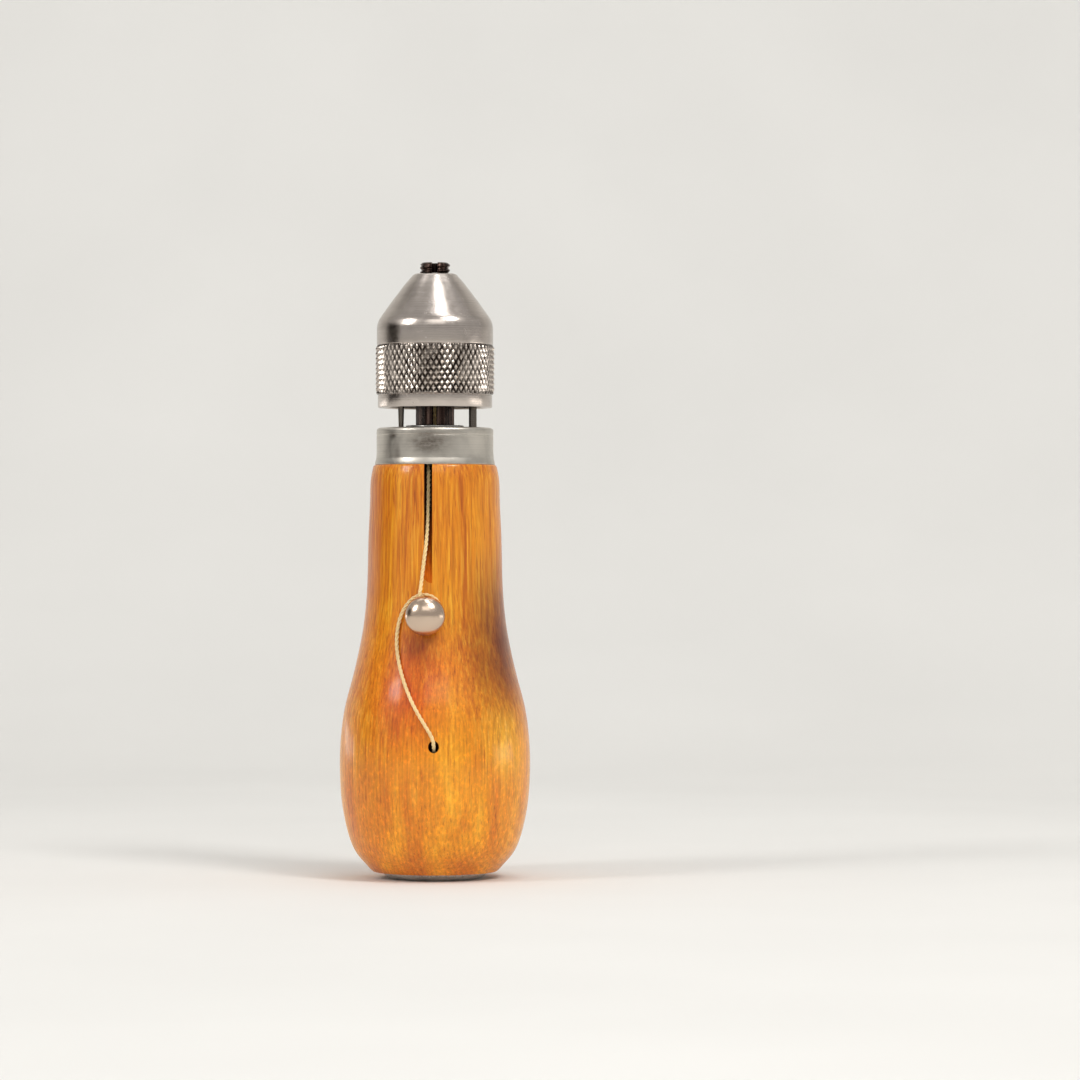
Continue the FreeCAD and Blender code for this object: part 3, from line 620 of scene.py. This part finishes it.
# ------------------------------------------------------------------ ferrule
fp = [(11.3, 83.84), (12.4, 83.84), (12.36, 84.3), (12.12, 85.2), (12.05, 86.4), (12.05, 89.75), (11.98, 89.85), (11.98, 90.0), (12.05, 90.1),
      (12.05, 91.48), (2.6, 91.48), (2.6, 90.58), (11.3, 90.58)]
fp = rounded(fp, {1: 0.12, 3: 0.8, 9: 0.7}, 6)
fv, ff = lathe(fp, 192)
ferrule = make("ferrule_cup", fv, ff, FERR, "handle", "ferrule", sharp=None)
slot_h = join(box_mesh(-2.5, 2.5, 6.5, 8.3, 90, 92), cylinder_mesh((-7, 0, 90), (-7, 0, 92), 1.1, 28))
ob = []
for i in range(25):
    a = -math.pi / 2 + math.pi * i / 24
    ob.append((7.95 + 1.15 * math.cos(a), 1.15 * math.sin(a)))
for i in range(25):
    a = math.pi / 2 + math.pi * i / 24
    ob.append((7.45 + 1.15 * math.cos(a), 1.15 * math.sin(a)))
k = len(ob)
oblong = ([(x, y, 90.0) for x, y in ob] + [(x, y, 92.0) for x, y in ob],
          [tuple(range(k - 1, -1, -1)), tuple(range(k, 2 * k))] + [(i, (i + 1) % k, k + (i + 1) % k, k + i) for i in range(k)])
cut(ferrule, slot_h, oblong)
finish_mesh(ferrule, FERR, 34)

# ------------------------------------------------------------------ washer under the post's hexagon
wp = rounded([(2.55, 91.48), (6.0, 91.48), (6.0, 91.98), (2.55, 91.98)], {1: 0.12, 2: 0.16}, 3)
wv_, wf_ = lathe(wp, 96)
make("post_washer_ring", wv_, wf_, STEEL, "handle", "post_washer")

# ------------------------------------------------------------------ needle post: hexagon, round barrel and helical screw thread
TURN = 1.0        # thread pitch
cols = 96
tip_rows = []
z = 112.7
z_end = 125.55
dz = 1.0 / 12
grid = []
zs = np.arange(z, z_end - 0.30 + 1e-6, dz)
verts, faces = [], []


def barrel_ring(r, zz):
    ids = []
    for i in range(cols):
        a = 2 * math.pi * i / cols
        ids.append(len(verts))
        verts.append((r * math.cos(a), r * math.sin(a), zz))
    return ids


rings = [barrel_ring(2.35, 91.98 + 0.5), barrel_ring(2.35, 97.9), barrel_ring(3.4, 98.0), barrel_ring(3.4, 109.9), barrel_ring(3.38, 110.05)]
rings += [barrel_ring(3.38 - 0.26 * (q + 1) / 4, 110.05 + 2.3 * (q + 1) / 4) for q in range(4)]
for zz in zs:
    ids = []
    for i in range(cols):
        a = 2 * math.pi * i / cols
        ph = (zz / TURN - a / (2 * math.pi)) % 1.0
        tri = abs(2 * ph - 1)
        grow = min(1.0, max(0.0, (zz - 112.7) / 0.8)) * min(1.0, max(0.0, (z_end - 0.2 - zz) / 0.5))
        depth = 0.36 * grow * (1 - min(1.0, max(0.0, (tri - 0.12) / 0.76)))
        r = 3.12 - depth
        ids.append(len(verts))
        verts.append((r * math.cos(a), r * math.sin(a), zz))
    rings.append(ids)
rings += [barrel_ring(2.88, z_end - 0.22), barrel_ring(2.66, z_end)]
for a, b in zip(rings, rings[1:]):
    for i in range(cols):
        j = (i + 1) % cols
        faces.append((a[i], a[j], b[j], b[i]))
faces.append(tuple(reversed(rings[0])))
faces.append(tuple(rings[-1]))
hc = 6.85 / math.sqrt(3)
hx = []
for zz, s in ((91.98, 0.97), (92.12, 1.0), (98.3, 1.0), (98.5, 0.96)):
    for i in range(6):
        a = math.radians(60 * i)
        hx.append((hc * s * math.cos(a), hc * s * math.sin(a), zz))
hexf = [tuple(range(5, -1, -1)), tuple(range(18, 24))]
for l in range(3):
    for i in range(6):
        j = (i + 1) % 6
        hexf.append((l * 6 + i, l * 6 + j, l * 6 + 6 + j, l * 6 + 6 + i))
tail_p = [(0, 65.9), (0.6, 66.0), (2.5, 68.0), (2.5, 92.3), (0, 92.3)]
tl = lathe(tail_p, 48)
post = make("needle_post_split", verts, faces, POST, "handle", "needle_post", sharp=None)
cut(post, (hx, hexf), tl, op="UNION")
cut(post, box_mesh(-0.6, 0.6, -7, -0.6, 87.4, 130), box_mesh(-0.25, 0.25, 1.3, 7, 100, 130), cylinder_mesh((0, 0, 108), (0, 0, 130), 0.9, 40))
finish_mesh(post, POST, 30)

# ------------------------------------------------------------------ tension post
hp = []
for i in range(25):
    a = -math.pi / 2 + (math.pi / 2) * i / 24
    hp.append((4.1 * math.cos(a), 3.15 * math.sin(a)))
ae = math.acos(1.9 / 4.1)
for i in range(1, 13):
    a = ae * i / 12
    hp.append((4.1 * math.cos(a), 0.95 * math.sin(a)))
hp[0] = (0, -3.15)
hp = hp + [(1.9, 2.8), (1.4, 2.8), (1.4, 11.0), (0.3, 12.3), (0, 12.3)]
tvv, tff = lathe(hp, 96)
tvv = [(-1.6 + x, -16.5 + zz, 53.0 - y) for x, y, zz in tvv]
make("tension_post_ball", tvv, tff, NICKEL, "handle", "tension_post", sharp=40)

# ------------------------------------------------------------------ chuck cap: turned shell with a real diamond knurl
cone = cubic([(12.0, 112.1), (11.72, 113.35), (11.1, 114.5), (10.2, 115.75), (9.32, 117.0), (8.4, 118.25), (7.45, 119.5), (6.5, 120.75),
              (5.5, 121.95), (4.75, 122.8)], 40)
nose = [(4.62, 122.96), (4.42, 123.12), (4.2, 123.24), (4.0, 123.29), (3.85, 123.3)]
inner = [(3.45, 123.3), (3.2, 123.05), (3.2, 117.6), (5.15, 117.6), (5.15, 113.6), (5.6, 113.6), (5.6, 113.0), (5.15, 113.0), (5.15, 112.6),
         (7.0, 112.6), (7.0, 116.2), (10.4, 111.9), (10.4, 95.85), (10.65, 95.6)]
NK = 64
per = 8
cols = NK * per
kz0, kz1 = 98.42, 108.45
period = 2.08
rows = int(round((kz1 - kz0) / (period / 8)))
depth = 0.46


def knurl_r(theta, zz):
    u = theta * NK / (2 * math.pi) + (zz - kz0) / period
    v = theta * NK / (2 * math.pi) - (zz - kz0) / period
    tu, tvl = abs(2 * (u % 1.0) - 1), abs(2 * (v % 1.0) - 1)
    h = min(1 - tu, 1 - tvl)
    return 12.25 - depth * (1 - min(1.0, h * 1.1))


profile_low = [(10.65, 95.6), (11.5, 95.6), (11.72, 95.68), (11.8, 95.9), (11.8, 98.05), (11.74, 98.12), (11.74, 98.22), (11.82, 98.3)]
profile_high = [(11.86, 108.56), (11.92, 108.62), (11.98, 108.7), (12.0, 108.85), (12.0, 111.9)] + cone + nose + inner
verts, faces, rings = [], [], []


def full_ring(r, zz):
    ids = list(range(len(verts), len(verts) + cols))
    for i in range(cols):
        a = 2 * math.pi * i / cols
        verts.append((r * math.cos(a), r * math.sin(a), zz))
    return ids


rings = [full_ring(r, zz) for r, zz in profile_low]
for q in range(rows + 1):
    zz = kz0 + (kz1 - kz0) * q / rows
    ids = list(range(len(verts), len(verts) + cols))
    edge = min(1.0, (zz - kz0) / 0.35, (kz1 - zz) / 0.35)
    for i in range(cols):
        a = 2 * math.pi * i / cols
        r = 11.9 + (knurl_r(a, zz) - 11.9) * (0.25 + 0.75 * max(0.0, edge))
        verts.append((r * math.cos(a), r * math.sin(a), zz))
    rings.append(ids)
k_first, k_last = len(profile_low) - 1, len(rings)
rings += [full_ring(r, zz) for r, zz in profile_high]
kn_faces = set()
for q in range(len(rings)):
    a, b = rings[q], rings[(q + 1) % len(rings)]
    knurled = k_first <= q < k_last
    for i in range(cols):
        j = (i + 1) % cols
        if knurled:
            kn_faces.add(len(faces))
            # split each cell along the line that a groove follows
            zq = q - len(profile_low)
            if ((i // (per // 2)) + (zq // 4)) % 2 == 0:
                faces.append((a[i], a[j], b[j])); kn_faces.add(len(faces)); faces.append((a[i], b[j], b[i]))
            else:
                faces.append((a[i], a[j], b[i])); kn_faces.add(len(faces)); faces.append((a[j], b[j], b[i]))
        else:
            faces.append((a[i], a[j], b[j], b[i]))
me = bpy.data.meshes.new("chuck_cap_shell")
me.from_pydata([(x * MM, y * MM, (zz + LIFT) * MM) for x, y, zz in verts], [], faces)
me.materials.append(CAP)
me.materials.append(KNURL)
for p in me.polygons:
    p.use_smooth = True
    p.material_index = 1 if p.index in kn_faces else 0
me.update()
me.set_sharp_from_angle(angle=math.radians(26))
cap = bpy.data.objects.new("chuck_cap_shell", me)
scene.collection.objects.link(cap)
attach(cap, "cap")
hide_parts("chuck_cap")

# ------------------------------------------------------------------ the thread wound on the reel
n, rowsw = 96, 32
verts, rings = [], []
wraps = []
pitch = 25.6 / rowsw
prof_w = [(5.5, 1.25)]
for q in range(rowsw):
    for s in range(6):
        a = math.pi * s / 6
        prof_w.append((9.2 + 0.4 * math.sin(a) - 0.10 * (q % 5 == 3), 1.3 + pitch * (q + s / 6)))
prof_w += [(9.2, 1.3 + pitch * rowsw), (5.5, 26.95)]
wvv, wff = lathe(prof_w, n)
wvv = [(x, y, min(26.98, max(1.22, zz + (0.18 * math.sin(math.atan2(y, x)) if 1.5 < zz < 26.6 else 0)))) for x, y, zz in wvv]
make("thread_wound_on_reel", wvv, wff, WOUND, "reel", "thread_winding", sharp=60)

# ------------------------------------------------------------------ thumb wheel with cast teeth and a dished face
teeth, perw = 36, 10
cols = teeth * perw
verts, faces = [], []


def tooth_ring(r_tip, r_root, zz):
    ids = list(range(len(verts), len(verts) + cols))
    for i in range(cols):
        a = 2 * math.pi * (i + 0.5) / cols
        ph = abs(2 * ((i + 0.5) / perw % 1.0) - 1)
        k = min(1.0, max(0.0, (ph - 0.12) / 0.35))
        k = k * k * (3 - 2 * k)
        r = r_root + (r_tip - r_root) * (1 - k) if r_tip != r_root else r_tip
        verts.append((r * math.cos(a), r * math.sin(a), zz))
    return ids


rg = [tooth_ring(5.1, 5.1, 1.2), tooth_ring(10.5, 10.1, 1.2), tooth_ring(10.66, 10.2, 1.0), tooth_ring(10.7, 10.24, 0.8), tooth_ring(10.7, 10.24, -0.34),
      tooth_ring(10.62, 10.2, -0.48), tooth_ring(10.1, 9.9, -0.95), tooth_ring(9.4, 9.35, -1.21), tooth_ring(8.6, 8.6, -1.4), tooth_ring(8.1, 8.1, -1.4),
      tooth_ring(7.95, 7.95, -1.3), tooth_ring(7.85, 7.85, -1.05), tooth_ring(6.3, 6.3, -1.05), tooth_ring(6.15, 6.15, -1.25),
      tooth_ring(5.95, 5.95, -1.36), tooth_ring(5.1, 5.1, -1.38)]
for q in range(len(rg)):
    a, b = rg[q], rg[(q + 1) % len(rg)]
    for i in range(cols):
        j = (i + 1) % cols
        faces.append((a[i], a[j], b[j], b[i]))
make("thumb_wheel_toothed", verts, faces, REEL, "reel", "thumb_wheel", sharp=34)

# ------------------------------------------------------------------ carried-over pieces: their own materials and eased edges
for name, mat, width in (("reel_screw", STEEL, 0.0), ("drag_washer", BLACKED, 0.0), ("roof_washer", STEEL, 0.0), ("reel_core", REEL, 0.0),
                         ("reel_inner_flange", REEL, 0.0), ("jaw_ring", STEEL, 0.0), ("ring_clip", BLACKED, 0.0),
                         ("straight_needle", NEEDLE, 0.0), ("curved_needle", NEEDLE, 0.0), ("wrench", STEEL, 0.15)):
    o = REST[name]
    o.data.materials.clear()
    o.data.materials.append(mat)
    for s in o.material_slots:
        s.material = mat
    if width:
        bv = o.modifiers.new("ease", "BEVEL")
        bv.width = width * MM
        bv.segments = 2
        bv.limit_method = "ANGLE"
        bv.angle_limit = math.radians(40)

# ------------------------------------------------------------------ floor, backdrop and light
def stage_mesh(name, verts, faces, mat):
    me = bpy.data.meshes.new(name)
    me.from_pydata(verts, [], faces)
    for p in me.polygons:
        p.use_smooth = True
    o = bpy.data.objects.new(name, me)
    me.materials.append(mat)
    scene.collection.objects.link(o)
    return o


sm, snt, sb = material("sweep_paper")
pn = noise(snt, mapped(snt, (6, 6, 6)), 1.0, 3.0, 0.5)
pc = ramp(snt, pn, "Fac", [(0.3, lin((227, 226, 223))), (0.7, lin((233, 232, 229)))])
link(snt, pc, 0, sb, "Base Color")
sb.inputs["Roughness"].default_value = 0.85
sb.inputs["Specular IOR Level"].default_value = 0.2
vs, fs = [], []
prof_s = [(-2.6, 0.0), (-1.0, 0.0), (0.35, 0.0)]
R = 0.5
for i in range(1, 17):
    a = math.pi / 2 * i / 16
    prof_s.append((0.35 + R * math.sin(a), R - R * math.cos(a)))
prof_s.append((0.85, 2.6))
for i, (y, zz) in enumerate(prof_s):
    for x in (-2.4, 2.4):
        vs.append((x, y, zz))
for i in range(len(prof_s) - 1):
    fs.append((2 * i, 2 * i + 1, 2 * i + 3, 2 * i + 2))
stage_mesh("sweep", vs, fs, sm)

fm, fnt, fb = material("flag_brown")
fb.inputs["Base Color"].default_value = (0.020, 0.014, 0.011, 1)
fb.inputs["Roughness"].default_value = 0.95
fb.inputs["Specular IOR Level"].default_value = 0.0


def curved_flag(name, radius, az0, az1, z0, z1, mat, n=12):
    """Upright card bent round the object; azimuth is measured from -Y towards +X."""
    v = []
    for i in range(n + 1):
        a = math.radians(az0 + (az1 - az0) * i / n)
        for zz in (z0, z1):
            v.append((radius * math.sin(a), -radius * math.cos(a), zz))
    return stage_mesh(name, v, [(2 * i, 2 * i + 2, 2 * i + 3, 2 * i + 1) for i in range(n)], mat)


flag_left = curved_flag("flag_left", 0.46, -106, -74, 0.05, 0.26, fm)
flag_left.visible_camera = False

world = bpy.data.worlds.new("room")
scene.world = world
world.use_nodes = True
wn = world.node_tree
bg = wn.nodes.get("Background")
bg.inputs["Color"].default_value = (1.0, 0.985, 0.96, 1)
bg.inputs["Strength"].default_value = 0.46


def area(name, loc, target, size, power, color=(1, 1, 1)):
    l = bpy.data.lights.new(name, "AREA")
    l.shape = "RECTANGLE"
    l.size, l.size_y = size
    l.energy = power
    l.color = color
    o = bpy.data.objects.new(name, l)
    o.location = loc
    d = Vector(target) - Vector(loc)
    o.rotation_euler = d.to_track_quat("-Z", "Y").to_euler()
    scene.collection.objects.link(o)
    return o


area("key", (0.52, -0.62, 0.92), (0, 0, 0.06), (0.30, 0.30), 5.0, (1.0, 0.985, 0.96))
area("fill_left", (-0.85, -0.55, 0.70), (0, 0, 0.06), (0.30, 0.40), 3.8, (1.0, 0.985, 0.96))
area("overhead", (0.16, -0.25, 1.15), (0, 0, 0.07), (0.24, 0.40), 1.5, (1, 1, 1))
area("soft_front", (0.10, -1.30, 0.95), (0, 0, 0.06), (0.9, 0.5), 2.0, (1.0, 0.985, 0.96))
area("rim_left", (-0.50, 0.42, 0.030), (0, 0, 0.030), (0.40, 0.05), 0.13, (1.0, 0.97, 0.93))
area("rim_right", (0.60, 0.02, 0.030), (0, 0, 0.026), (0.34, 0.05), 0.13, (1.0, 0.95, 0.88))
area("back_wash", (0.0, 0.25, 1.5), (0, 0.8, 0.30), (1.4, 0.5), 2.4, (1, 1, 1))

scene.view_settings.view_transform = "Standard"
scene.view_settings.look = "None"
scene.view_settings.exposure = 0.0
